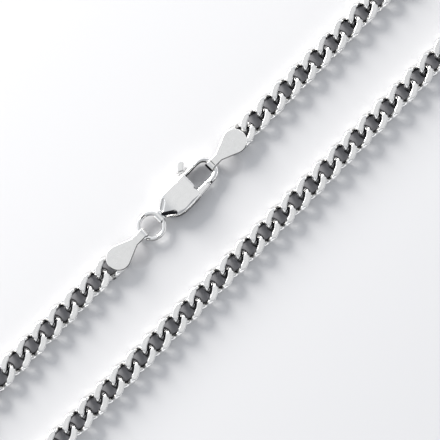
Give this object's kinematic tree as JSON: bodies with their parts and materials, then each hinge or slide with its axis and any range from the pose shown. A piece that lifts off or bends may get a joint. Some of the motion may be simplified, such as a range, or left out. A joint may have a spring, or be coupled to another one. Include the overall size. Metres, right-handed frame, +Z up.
{
  "type": "curb chain necklace",
  "caption": "Closed loop of flat curb chain with two disc-ended tabs, a jump ring and a sprung lobster clasp, lying flat.",
  "frame": {"origin": "on the surface that the necklace lies on, midway along and between its two long strands", "axes": "+X along the strands from the jump ring towards the clasp's hook, +Y towards the strand that holds the clasp, +Z up from the surface"},
  "size_m": [0.218, 0.023, 0.0024],
  "materials": {
    "chain_silver": "ground flat and polished",
    "tab_silver": "satin top, polished edge",
    "clasp_silver": "polished"
  },
  "bodies": {
    "necklace": {"chain": "chain_silver", "end_tab_ring_side": "tab_silver", "end_tab_clasp_side": "tab_silver", "jump_ring": "clasp_silver", "clasp_body": "clasp_silver"},
    "lever": {"clasp_lever": "clasp_silver"}
  },
  "joints": [
    {"name": "lever_pivot", "type": "hinge", "parent": "necklace", "child": "lever", "pos_m": [-0.0008, 0.0053, 0.0012], "axis": [0, 0, 1], "range_deg": [0, 20], "stiffness_Nm_per_rad": 0.01, "springref_deg": -11.46}
  ]
}
